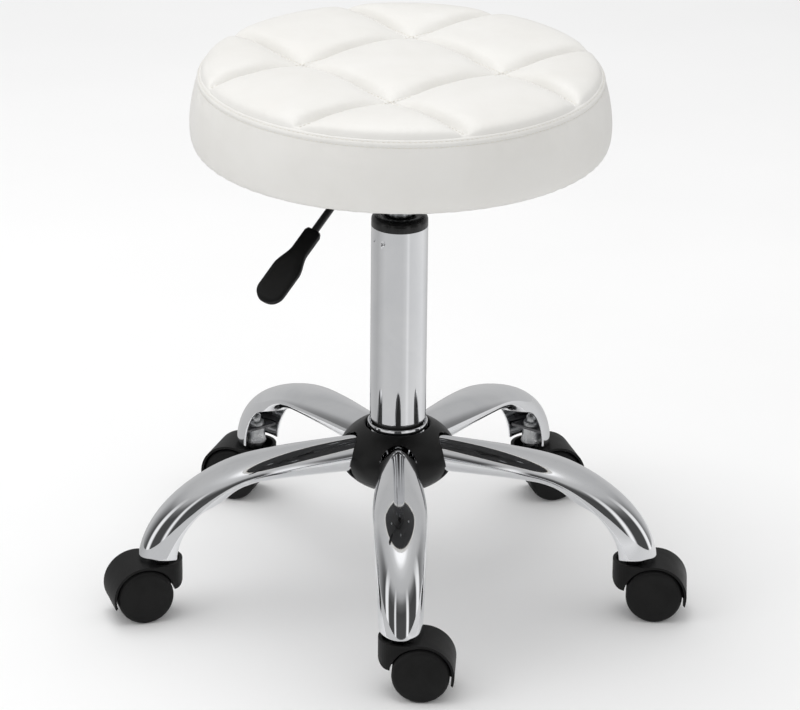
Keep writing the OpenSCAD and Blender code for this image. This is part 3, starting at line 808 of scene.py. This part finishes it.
def dust_cloth():
    """The lining stapled under the board: a thin sheet, a little slack between its staples."""
    lo, hi = box_mm("dust_cover")
    radius = (hi[0] - lo[0]) / 2
    seg, rings = 180, 40
    a = np.arange(seg) * 2 * math.pi / seg
    rows = []
    rr = np.linspace(2, radius, rings)
    sag = 0.35 * wobble(31, a, 6, 5, 22)
    for side in (0, 1):
        order = rr if side == 0 else rr[::-1]
        for r in order:
            z = lo[2] + 0.15 - 0.12 * math.sin(math.pi * r / radius) + 0.25 * sag * (r / radius) ** 4
            z = np.minimum(z, hi[2] - 0.45) if side == 0 else np.minimum(z, hi[2] - 0.45) + 0.4
            rows.append(hoop(r, z, a))
    # the underside's rows run outward and the upper side's run back in
    faces = grid_faces(len(rows), seg, True, True)
    obj = make_object("dust_cloth", np.concatenate(rows), faces, "lining_cloth", sharp=50)
    place(obj, "seat", "lining_cloth", "dust_cover")
    verts, faces = [], []
    count = 28
    for k in range(count):
        t = 2 * math.pi * (k + 0.3 * math.sin(k * 2.4)) / count
        c = np.array([(radius - 5) * math.cos(t), (radius - 5) * math.sin(t), lo[2] - 0.1])
        d = np.array([-math.sin(t + 0.2), math.cos(t + 0.2), 0])
        e = np.array([d[1], -d[0], 0])
        base = len(verts)
        path = [(-5.0, 0.9), (-5.0, 0.1), (-4.5, -0.35), (4.5, -0.35), (5.0, 0.1), (5.0, 0.9)]
        for s, z in path:
            for m in range(6):
                w = math.pi * m / 3
                across = e * 0.42 * math.cos(w)
                verts.append(c + d * s + across + np.array([0, 0, z + 0.3 * math.sin(w)]))
        faces += tube_faces(len(path), 6, base)
    staples = make_object("staples", verts, faces, "zinc_steel")
    place(staples, "seat", "zinc_steel")


# ---------------------------------------------------------------- legs
STEM_R = 221.0
RIDGE_IN = [[20, 146.5], [70, 146.2], [115, 144.5], [150, 136.5]]
RIDGE_OUT = [[150, 136.5], [STEM_R - 25, 125.5], [STEM_R + 12, 98], [STEM_R + 19.5, 58]]
BELLY_IN = [[20, 114], [70, 114], [110, 120.5], [150, 117.5]]
BELLY_OUT = [[150, 117.5], [STEM_R - 40, 114.5], [STEM_R - 10, 88], [STEM_R - 9, 58]]
HALF_W_IN = [15.5, 18.5, 25, 23.3]
HALF_W_OUT = [23.3, 22.6, 20.5, 19.3]
TUBE_ARC, CLAW_ARC, PINCH, LEG_WALL = 172.0, 90.0, 0.3, 2.0
LEG_NAMES = ["front", "right", "back_right", "back_left", "left"]
LEG_COUNT = len(LEG_NAMES)


def leg_angle(i):
    return math.radians(-90 + 360 // LEG_COUNT * i)


def leg_curve(u, inside, outside):
    if np.ndim(inside) == 1:
        inside, outside = [[v] for v in inside], [[v] for v in outside]
    return bezier(inside, min(u, 1.0)) if u < 1 else bezier(outside, u - 1)


def leg_ring(u, turns, inset):
    top, low = leg_curve(u, RIDGE_IN, RIDGE_OUT), leg_curve(u, BELLY_IN, BELLY_OUT)
    is_open = float(ease((u - 0.85) / 0.65))
    mid = (top + low) / 2 * (1 - is_open) + low * is_open
    up = top - mid
    half_w = float(leg_curve(u, HALF_W_IN, HALF_W_OUT)[0])
    out = []
    for turn, ins in zip(turns, inset):
        ang = math.radians(turn * (TUBE_ARC * (1 - is_open) + CLAW_ARC * is_open))
        rise = up * (1 - ins / np.linalg.norm(up))
        pinch = PINCH * max(1 - u, 0) * max(math.cos(ang), 0) ** 2
        p = mid + rise * math.cos(ang)
        out.append((p[0], (half_w - ins) * math.sin(ang) * (1 - pinch), p[1]))
    return out


def leg(i):
    """One pressed leg: outer skin, rolled lips and inner skin in one closed surface."""
    n = 72
    outer = np.linspace(-1, 1, n + 1)
    lip = [math.pi * k / 6 for k in range(1, 6)]
    r = LEG_WALL / 2
    turns = list(outer) + [1 + 0.028 * math.sin(w) for w in lip] + list(outer[::-1])
    turns += [-1 - 0.028 * math.sin(w) for w in lip]
    inset = [0] * (n + 1) + [r - r * math.cos(w) for w in lip] + [LEG_WALL] * (n + 1)
    inset += [r + r * math.cos(w) for w in lip]
    us = np.concatenate([np.linspace(0.045, 1, 60)[:-1], np.linspace(1, 2, 110)])
    rows = [leg_ring(float(u), turns, inset) for u in us]
    # roll the claw's foot edge over the wall
    last = rows[-1]
    m = len(last)
    verts = np.array(rows).reshape(-1, 3)
    faces = grid_faces(len(rows), m)
    base = len(verts)
    foot = []
    pair = [(k, 2 * n + 1 + len(lip) - k) for k in range(n + 1)]
    for step in (1, 2, 3):
        w = math.pi * step / 4
        for a, b in pair:
            pa, pb = np.array(last[a]), np.array(last[b])
            drop = np.array([0, 0, 0.9 * math.sin(w)])
            foot.append((pa + pb) / 2 + (pa - pb) / 2 * math.cos(w) - drop)
    verts = np.concatenate([verts, np.array(foot)])
    start = base - m
    lines = [[base + s * (n + 1) + k for k in range(n + 1)] for s in range(3)]
    lines = [[start + a for a, _ in pair]] + lines + [[start + b for _, b in pair]]
    for p, q in zip(lines[:-1], lines[1:]):
        for k in range(n):
            faces.append((p[k], p[k + 1], q[k + 1], q[k]))
    world = turned(verts, leg_angle(i))
    obj = make_object("chrome_leg_" + LEG_NAMES[i], world, faces, "chrome_plate", sharp=55)
    place(obj, "base", "chrome_plate", "leg_" + LEG_NAMES[i])


# ---------------------------------------------------------------- hub and column
COVER_R, COVER_HALF_H, COVER_MID_Z, COVER_WALL = 52.5, 33.5, 126, 2.5
# The arch that each leg passes through: half width, spring height, foot and radial reach
ARCH_HALF_W, ARCH_SPRING_Z, ARCH_FOOT_Z = 17.0, 131.5, 96.0
ARCH_REACH = (31.0, 70.0)


def cover_line(low, high, inset, n=44):
    """Stretch of the hub's oval outline between two angles in degrees, as (r, z)."""
    out = []
    for a in np.radians(np.linspace(low, high, n)):
        out.append(((COVER_R - inset) * math.cos(a), COVER_MID_Z + (COVER_HALF_H - inset) * math.sin(a)))
    return out


def arch_cutter():
    """Five tunnels with round tops, one for each leg."""
    line = [(-ARCH_HALF_W, ARCH_FOOT_Z), (-ARCH_HALF_W, ARCH_SPRING_Z)]
    for w in np.linspace(math.pi, 0, 41)[1:-1]:
        line.append((ARCH_HALF_W * math.cos(w), ARCH_SPRING_Z + ARCH_HALF_W * math.sin(w)))
    line += [(ARCH_HALF_W, ARCH_SPRING_Z), (ARCH_HALF_W, ARCH_FOOT_Z)]
    verts, faces = [], []
    for i in range(LEG_COUNT):
        t = leg_angle(i)
        base = len(verts)
        for r in ARCH_REACH:
            for y, z in line:
                verts.append((r * math.cos(t) - y * math.sin(t), r * math.sin(t) + y * math.cos(t), z))
        faces += tube_faces(2, len(line), base)
    cutter = make_object("arch_cutter", verts, faces, "hub_plastic", smooth=False)
    bm = bmesh.new()
    bm.from_mesh(cutter.data)
    bmesh.ops.recalc_face_normals(bm, faces=bm.faces)
    bm.to_mesh(cutter.data)
    bm.free()
    return cutter


def hub():
    """Upper cover with five arches cut for the legs, and the cap below it."""
    top = box_mm("hub_cover")[1][2]
    outer = cover_line(-25, 55, 0)
    inner = cover_line(-25, 55, COVER_WALL)[::-1]
    lip = [(outer[-1][0] - 0.6, top + 0.25), (inner[0][0] + 0.5, top - 0.1)]
    shell = revolve("hub_shell", outer + lip + inner, "hub_plastic", seg=240, sharp=40)
    cutter = arch_cutter()
    cut = shell.modifiers.new("cut", "BOOLEAN")
    cut.operation = "DIFFERENCE"
    cut.solver = "EXACT"
    cut.object = cutter
    evaluated(shell)
    bpy.data.objects.remove(cutter)
    bevel(shell, 0.7, 2, 50)
    evaluated(shell)
    shell.data.shade_smooth()
    shell.data.set_sharp_from_angle(angle=math.radians(50))
    place(shell, "base", "black_plastic", "hub_cover")
    outer = cover_line(-57.5, -25.6, 0, 30)
    inner = cover_line(-57.5, -25.6, COVER_WALL, 30)[::-1]
    cap = revolve("hub_bottom", rounded(outer + inner, 0.5, 2), "hub_plastic", seg=240, sharp=40)
    place(cap, "base", "black_plastic", "hub_cap")


# Punch marks round the top of the column tube, and their size
PUNCH_ANGLES = (28, 54, 208, 234)
PUNCH_R, PUNCH_DEPTH, PUNCH_DROP = 2.2, 0.9, 10.5
# The tube's wall, the notches cut in its foot, and the gap left round what fits inside it
TUBE_WALL = 1.5
NOTCH_COUNT, NOTCH_H, NOTCH_W = 9, 31.0, 4.8
FIT = 0.05


def column_tube():
    """Chrome tube, its foot cut into pointed tabs, with punched dents near its top."""
    lo, hi = box_mm("outer_tube")
    r, z0, z1 = hi[0], lo[2], hi[2]
    step = 2 * math.pi / NOTCH_COUNT
    half = NOTCH_W / 2 / r
    offs = np.concatenate([np.linspace(-half, half, 17), np.linspace(half, step - half, 22)[1:-1]])
    ang = np.concatenate([math.radians(-90) + i * step + offs for i in range(NOTCH_COUNT)])
    near = np.linspace(-2.8, 2.8, 21) / r
    ang = np.unique(np.concatenate([ang] + [math.radians(a) + near for a in PUNCH_ANGLES]).round(6))
    d = np.abs((np.mod(ang + math.pi / 2 + step / 2, step) - step / 2) * r)
    foot = z0 + NOTCH_H * np.clip(1 - d / (NOTCH_W / 2), 0, 1)
    outer_rows, inner_rows = [], []
    # shares of the height: close at both rims and across the dents
    marks = np.linspace(0.924, 0.962, 19)
    fracs = np.concatenate([[0, 0.004, 0.01], np.linspace(0.03, 0.91, 38), marks, [0.98, 0.99, 0.996, 1]])
    for f in fracs:
        z = foot + (z1 - foot) * f
        rr = r - (0.35 if f == 0 else 0.0)
        for a in PUNCH_ANGLES:
            reach = np.hypot((ang - math.radians(a)) * r, z - (z1 - PUNCH_DROP)) / PUNCH_R
            rr = rr - PUNCH_DEPTH * np.clip(1 - reach ** 2, 0, 1) ** 0.8
        outer_rows.append(hoop(rr, z, ang))
        inner_rows.append(hoop(r - TUBE_WALL, z, ang))
    rows = outer_rows + inner_rows[::-1]
    faces = grid_faces(len(rows), len(ang), True, True)
    tube = make_object("column_tube", np.concatenate(rows), faces, "chrome_plate", sharp=40)
    place(tube, "base", "chrome_plate", "outer_tube")
    return r, z1


def column_lining(r, tube_top):
    """Plastic bush that caps the tube, the black sleeve inside it, and the socket it stands in."""
    sleeve_r = r - TUBE_WALL - FIT
    lo, hi = box_mm("guide_bush")
    cap_z, bore, shoulder = hi[2], 14.05, 5
    prof = [(bore, lo[2]), (sleeve_r, lo[2]), (sleeve_r, tube_top), (r, tube_top, 0.4)]
    for w in np.linspace(0.1, math.pi / 2, 9):
        prof.append((r - shoulder + shoulder * math.cos(w), cap_z - shoulder + shoulder * math.sin(w)))
    prof += [(17.2, cap_z), (16.6, cap_z - 1.2, 0.3), (15.6, cap_z - 1.2, 0.3), (bore, cap_z - 0.2, 0.3)]
    bush = revolve("column_bush", rounded(prof, 0.25, 3), "bush_plastic", seg=160, sharp=50)
    place(bush, "base", "bush_plastic", "guide_bush")
    lo, hi = box_mm("inner_tube")
    foot, taper_top, wall = lo[2], 158.0, 2.0
    prof = [(5.6, foot), (21.3, foot, 0.8), (23.3, taper_top, 2.0), (sleeve_r, taper_top + 2.5, 1.0),
            (sleeve_r, hi[2]), (sleeve_r - wall, hi[2]), (sleeve_r - wall, taper_top + 2), (21.3, taper_top),
            (19.3, foot + 3), (5.6, foot + 3)]
    inner = revolve("inner_sleeve", rounded(prof, 0.3, 4), "black_steel", seg=160, sharp=40)
    place(inner, "base", "black_steel", "inner_tube")
    lo, hi = box_mm("socket_tube")
    outer_r, lip_r, lip_z = 26.8, 25.3, 150
    prof = [(21.35, lo[2]), (outer_r, lo[2]), (outer_r, hi[2], 0.9), (lip_r, hi[2], 0.7), (lip_r, lip_z, 0.4),
            (23.1, lip_z)]
    sock = revolve("chrome_socket", rounded(prof, 0.3, 4), "chrome_plate", seg=160, sharp=40)
    place(sock, "base", "chrome_plate", "socket_tube")


def gas_lift():
    """The sliding cylinder and the seat's socket on its taper."""
    lo, hi = box_mm("gas_cylinder")
    bore, outer_r, nose_r, pin_r, cap_z = 12, 14, 12.9, 3.55, 392
    taper_z = 366
    prof = [(bore, lo[2]), (outer_r, lo[2], 1.2), (outer_r, taper_z, 0.8), (nose_r, hi[2], 1.0),
            (pin_r, hi[2]), (pin_r, cap_z), (bore, cap_z)]
    gas = revolve("lift_cylinder", rounded(prof, 0.2, 4), "cylinder_metal", seg=128, sharp=40)
    place(gas, "seat", "black_steel", "gas_cylinder")
    lo, hi = box_mm("taper_socket")
    wall_r = 17.5
    prof = [(outer_r + FIT, lo[2]), (wall_r, lo[2], 0.6), (wall_r, hi[2], 0.6), (nose_r + FIT, hi[2])]
    sock = revolve("seat_socket", rounded(prof, 0.2, 4), "black_steel", seg=128, sharp=40)
    place(sock, "seat", "black_steel", "taper_socket")


def column():
    r, top_z = column_tube()
    column_lining(r, top_z)
    gas_lift()


# ---------------------------------------------------------------- lever
LEVER_TURN = math.radians(229.5)
LEVER_FALL = math.radians(34.0)
PADDLE_ROLL = math.radians(-18)


def lever():
    z0, bend_x, inner_x, rad = 408.2, 58.0, -6.0, 3.3
    paddle_at, length = 68.5, 79.0
    # rod: straight, one smooth bend, then down into the paddle
    path = [np.array([x, 0, z0]) for x in np.linspace(inner_x, bend_x - 6, 14)]
    down = np.array([math.cos(LEVER_FALL), 0, -math.sin(LEVER_FALL)])
    p0, p1, p2 = path[-1], np.array([bend_x, 0, z0]), np.array([bend_x, 0, z0]) + down * 6
    for t in np.linspace(0, 1, 10)[1:]:
        path.append((1 - t) ** 2 * p0 + 2 * t * (1 - t) * p1 + t * t * p2)
    for d in np.linspace(6, paddle_at + 42, 20)[1:]:
        path.append(np.array([bend_x, 0, z0]) + down * d)
    path = np.array(path)
    tan = np.gradient(path, axis=0)
    tan /= np.linalg.norm(tan, axis=1)[:, None]
    n = 28
    rows = []
    scale = np.ones(len(path))
    scale[0] = 0.75
    for p, t, k in zip(path, tan, scale):
        up = np.array([-t[2], 0, t[0]])
        rows.append([p + rad * k * (np.array([0, 1, 0]) * math.cos(w) + up * math.sin(w))
                     for w in np.arange(n) * 2 * math.pi / n])
    verts = turned(np.array(rows).reshape(-1, 3), LEVER_TURN)
    rod = make_object("lever_wire", verts, tube_faces(len(rows), n), "black_steel", sharp=50)
    place(rod, "lever", "black_steel", "lever_rod")
    # paddle: neck that swells into a spoon, crowned faces and a thick rounded edge
    n, count = 64, 90
    rows = []
    neck_half, blade_half, half_t = 7.5, 12.8, 4.5
    for k in range(count + 1):
        t = k / count
        x = length * (1 - (1 - t) ** 1.6)
        w = neck_half + (blade_half - neck_half) * float(ease((x - 22) / 22))
        end = length - blade_half
        if x > end:
            w = math.sqrt(max(blade_half ** 2 - (x - end) ** 2, 0.0)) * (w / blade_half)
        thick = half_t * (1 - 0.1 * float(ease((x - 20) / 40)))
        thick *= math.sqrt(max(1 - max((x - (length - 4.0)) / 4.0, 0) ** 2, 0.0))
        neck = float(ease(1 - x / 3.0))
        w, thick = w * (1 - 0.16 * neck), thick * (1 - 0.16 * neck)
        dish = 0.9 * float(ease((x - 30) / 18)) * float(ease((length - 6 - x) / 14))
        ring = []
        for m in range(n):
            a = 2 * math.pi * m / n
            ca, sa = math.cos(a), math.sin(a)
            y = w * math.copysign(abs(ca) ** 0.62, ca)
            z = thick * math.copysign(abs(sa) ** 0.42, sa)
            if sa > 0:
                z -= dish * max(0, 1 - (y / max(w * 0.72, 0.1)) ** 2)
            ring.append((x, y, z))
        rows.append(ring)
    p = np.array(rows).reshape(-1, 3)
    c, s = math.cos(PADDLE_ROLL), math.sin(PADDLE_ROLL)
    y, z = p[:, 1] * c - p[:, 2] * s, p[:, 1] * s + p[:, 2] * c
    x = p[:, 0] + paddle_at
    cf, sf = math.cos(LEVER_FALL), math.sin(LEVER_FALL)
    world = np.stack([bend_x + x * cf + z * sf, y, z0 - x * sf + z * cf], 1)
    world = turned(world, LEVER_TURN)
    pad = make_object("lever_grip", world, tube_faces(len(rows), n), "black_plastic", sharp=60)
    place(pad, "lever", "black_plastic", "lever_paddle")


# ---------------------------------------------------------------- casters
def caster(name):
    """The two wheels of one caster, each with a grained band at the edge of its tread."""
    stem_lo, stem_hi = box_mm("stem_" + name)
    axle_lo, axle_hi = box_mm("axle_" + name)
    stem = (stem_lo + stem_hi) / 2
    axle = (axle_lo + axle_hi) / 2
    trail = axle[:2] - stem[:2]
    turn = math.atan2(trail[1], trail[0])
    inner, outer, r, edge = 6.0, 22.5, 25.0, 4
    face = [(0, outer + 0.85), (3.5, outer + 0.95), (9, outer + 0.9), (16.2, outer + 0.55),
            (18.6, outer + 0.3)]
    tread = []
    for w in np.linspace(math.pi / 2, 0, 9):
        tread.append((r - edge + edge * math.cos(w), outer - edge + edge * math.sin(w)))
    back = [(r, inner + 1.2), (r - 1.2, inner), (8, inner), (7.2, inner + 0.6), (3.05, inner + 0.6),
            (3.05, 18), (0, 18)]
    prof = np.array(face + tread + back)
    first, last = len(face) + 6, len(face) + len(tread)
    n = 96
    ang = np.arange(n) * 2 * math.pi / n
    for letter, side in (("a", 1), ("b", -1)):
        key = "wheel_%s_%s" % (name, letter)
        rows = [np.stack([q[0] * np.cos(ang), np.full(n, q[1] * side), q[0] * np.sin(ang)], 1) for q in prof]
        faces = grid_faces(len(rows), n)
        if side > 0:
            faces = [f[::-1] for f in faces]
        verts = turned(np.concatenate(rows), turn) + axle
        wheel = make_object("caster_" + key, verts, faces, "wheel_plastic", sharp=40)
        wheel.data.materials.append(MATS["tread_plastic"])
        for poly in wheel.data.polygons:
            if first <= min(poly.vertices) // n <= last:
                poly.material_index = 1
        place(wheel, key, "wheel_plastic", key)


def sockets():
    """Zinc stems that turn in the sleeves, each with a collar and a domed head."""
    for name in LEG_NAMES:
        lo, hi = box_mm("stem_" + name)
        stem = (lo + hi) / 2
        prof = [(0.01, 33), (4, 33, 0.5), (4, 50), (8, 50, 0.5), (8, 54.7, 0.5), (5.5, 54.7), (5.5, 79)]
        for w in np.linspace(0.1, math.pi / 2 - 0.02, 10):
            prof.append((5.5 * math.cos(w), 79 + 5.5 * math.sin(w)))
        obj = revolve("caster_stem_" + name, rounded(prof, 0.2, 3), "zinc_steel", 64, (stem[0], stem[1]), 40)
        place(obj, "caster_" + name, "zinc_steel", "stem_" + name)


seat = seat_top()
band, prof, normal, below, lift = side_band()
stitches(seat, prof, normal, below, lift)
dust_cloth()
for index in range(LEG_COUNT):
    leg(index)
hub()
column()
lever()
for name in LEG_NAMES:
    caster(name)
sockets()


# ---------------------------------------------------------------- CAD nodes that stay
SLOT_OF = {row["node"]: row["material_slot"] for row in frame["record"]["subparts"]}
for node, obj in NODES.items():
    if obj.hide_render:
        continue
    slot = SLOT_OF[node]
    # the socket plates inside the leg claws take the darkened zinc, a painted shade
    mat = MATS[{"hood": "hood_plastic", "socket": "painted_shade_zinc"}.get(node.split("_")[0], slot)]
    for k in range(max(len(obj.data.materials), 1)):
        if k < len(obj.data.materials):
            obj.data.materials[k] = mat
        else:
            obj.data.materials.append(mat)
    if node.startswith("hood_"):
        bevel(obj, 1.0, 4, 28)
    elif node in ("mount_plate", "stem_sockets", "socket_plates", "seat_bolts", "bolt_washers"):
        bevel(obj, 0.3, 2, 35)


# ---------------------------------------------------------------- studio
# Painted reflection for the chrome: tone of the low self-lit card, which only reflections see, by direction,
# in degrees from the camera side toward +X
CARD_REFLECTION_TONES = [(-180, 0.50), (-144, 0.55), (-97, 0.46), (-60, 0.60), (12, 0.60), (26, 0.66),
              (35, 0.82), (44, 0.68), (74, 0.72), (106, 0.80), (144, 0.58), (180, 0.50)]
# Painted highlights: white strips on the dark far wall of the self-lit dome, seen only in reflections: centre
# and width in degrees
REFLECTED_STRIPS = [(-70, 14), (-30, 8), (33, 12), (84, 16)]
# Rings of the reflection dome, a self-lit painted reflection, as radius, height, share of the wall's tone,
# and tone of the sky
DOME = [(1.02, 0.0, 1, 0), (1.02, 0.22, 1, 0), (1.02, 0.48, 0.95, 0), (1.02, 0.7, 0.7, 0.1),
        (1.02, 0.9, 0.25, 0.36), (0.98, 1.1, 0, 0.5), (0.85, 1.45, 0, 0.54), (0.62, 1.7, 0, 0.66),
        (0.4, 1.82, 0, 1.1), (0.01, 1.9, 0, 1.2)]


def reflection_only_glow(name, verts, faces, tones):
    """A self-lit card with a tone at each point, which only reflections see: a painted reflection, not a
    lamp.
    """
    me = bpy.data.meshes.new(name)
    me.from_pydata(verts, [], faces)
    layer = me.attributes.new("tone", "FLOAT", "POINT")
    layer.data.foreach_set("value", tones)
    obj = add_object(name, me)
    mat = bpy.data.materials.new(name)
    mat.use_nodes = True
    nt = mat.node_tree
    nt.nodes.clear()
    out = nt.nodes.new("ShaderNodeOutputMaterial")
    glow = nt.nodes.new("ShaderNodeEmission")
    attr = nt.nodes.new("ShaderNodeAttribute")
    attr.attribute_name = "tone"
    nt.links.new(attr.outputs["Fac"], glow.inputs["Strength"])
    nt.links.new(glow.outputs[0], out.inputs[0])
    me.materials.append(mat)
    for kind in ("camera", "diffuse", "shadow", "transmission", "volume_scatter"):
        setattr(obj, "visible_" + kind, False)


def painted_reflections():
    """Painted reflections: a self-lit grey card on the floor and a self-lit dome whose low wall is dark in
    front, with soft white strips, seen only in reflections.
    """
    n = 360
    deg = np.arange(n) * 360 / n - 180
    ang = np.radians(deg - 90)
    tone = np.interp(deg, *zip(*CARD_REFLECTION_TONES))
    rings = (0.27, 0.36, 0.44, 0.5, 0.6, 0.8, 1.0)
    verts, tones = [], []
    for r in rings:
        for a, t in zip(ang, tone):
            verts.append((r * math.cos(a), r * math.sin(a), 0.002))
            tones.append(float(t))
    # painted reflection: a self-lit card on the floor that only reflections see
    reflection_only_glow("reflection_card", verts, grid_faces(len(rings), n), tones)
    wall = 0.07 + 0.48 * ease((np.abs(deg) - 78) / 50)
    for at, width in REFLECTED_STRIPS:
        off = np.abs((deg - at + 180) % 360 - 180)
        wall = np.maximum(wall, ease((width / 2 + 4 - off) / 8))
    verts, tones = [], []
    for r, z, own, sky in DOME:
        for a, t in zip(ang, wall * own + sky):
            verts.append((r * math.cos(a), r * math.sin(a), z))
            tones.append(float(t))
    # painted reflection: the self-lit dome with its dark low wall and white strips, which only reflections
    # see
    reflection_only_glow("reflection_dome", verts, grid_faces(len(DOME), n), tones)


def studio():
    lo, hi = Vector(CAD_BOX[0]), Vector(CAD_BOX[1])
    me = bpy.data.meshes.new("floor")
    size, step = 12.0, 3
    lines = range(-step, step + 1)
    points = [(x * size / step, y * size / step, 0) for y in lines for x in lines]
    me.from_pydata(points, [], grid_faces(len(lines), len(lines), False))
    floor = add_object("floor", me)
    t = Tree("floor_paper", 0.9, Specular_IOR_Level=0.1)
    t.colours(t.noise(3, 3), [(0.3, grey(0.93)), (0.7, grey(0.95))])
    me.materials.append(t.mat)
    world = bpy.data.worlds.new("studio")
    SCENE.world = world
    world.use_nodes = True
    nt = world.node_tree
    bg = nt.nodes["Background"]
    bg.inputs[0].default_value = (1, 1, 1, 1)
    bg.inputs[1].default_value = 0.78
    centre = (lo + hi) / 2

    def area(name, at, size, power, size_y=None):
        data = bpy.data.lights.new(name, "AREA")
        data.shape = "RECTANGLE"
        data.size, data.size_y = size, size_y or size
        data.energy = power
        obj = add_object(name, data)
        obj.location = at
        obj.rotation_euler = (centre - Vector(at)).to_track_quat("-Z", "Y").to_euler()
        return obj

    area("top_softbox", (-0.35, 0.25, 2.3), 1.5, 17)
    area("left_softbox", (-1.9, -1.0, 1.4), 1.1, 5)
    # painted reflections for the chrome
    painted_reflections()
    SCENE.view_settings.view_transform = "Standard"


studio()
